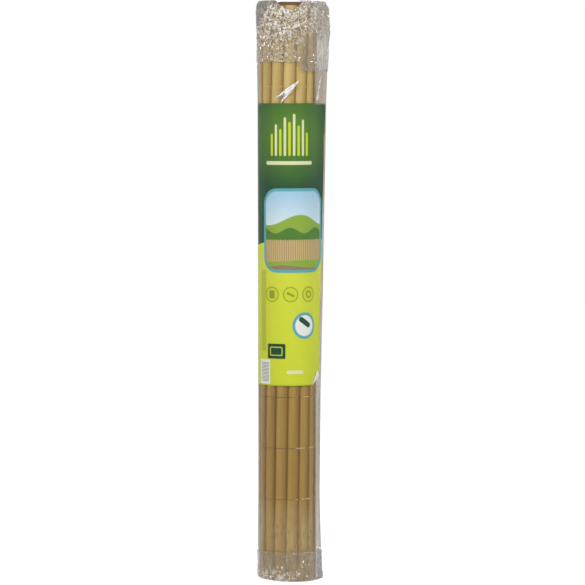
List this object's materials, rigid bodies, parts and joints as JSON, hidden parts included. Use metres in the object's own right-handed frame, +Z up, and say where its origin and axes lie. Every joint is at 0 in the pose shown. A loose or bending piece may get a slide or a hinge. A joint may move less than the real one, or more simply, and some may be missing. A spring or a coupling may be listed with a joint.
{
  "type": "synthetic reed screen",
  "caption": "Rolled synthetic reed screen of half-round plastic canes bound with thread, standing on end in a clear shrink sleeve with a paper label round its front.",
  "frame": {"origin": "on the roll's axis, on the sleeve's flat underside", "axes": "+Z up along the roll's axis, front with the label towards -Y, the film's loose side fold towards +X"},
  "size_m": [0.1278, 0.1108, 1.0038],
  "materials": {
    "cane_plastic": "satin, streaked tan",
    "thread": "satin",
    "label_paper": "coated, printed",
    "film": "clear, crumpled"
  },
  "bodies": {
    "root": {"reed_mat": "cane_plastic", "binding_thread_01": "thread", "binding_thread_02": "thread", "binding_thread_03": "thread", "binding_thread_04": "thread", "binding_thread_05": "thread", "binding_thread_06": "thread", "binding_thread_07": "thread", "binding_thread_08": "thread", "binding_thread_09": "thread", "binding_thread_10": "thread", "binding_thread_11": "thread", "paper_label": "label_paper", "film_sleeve": "film"}
  },
  "joints": []
}
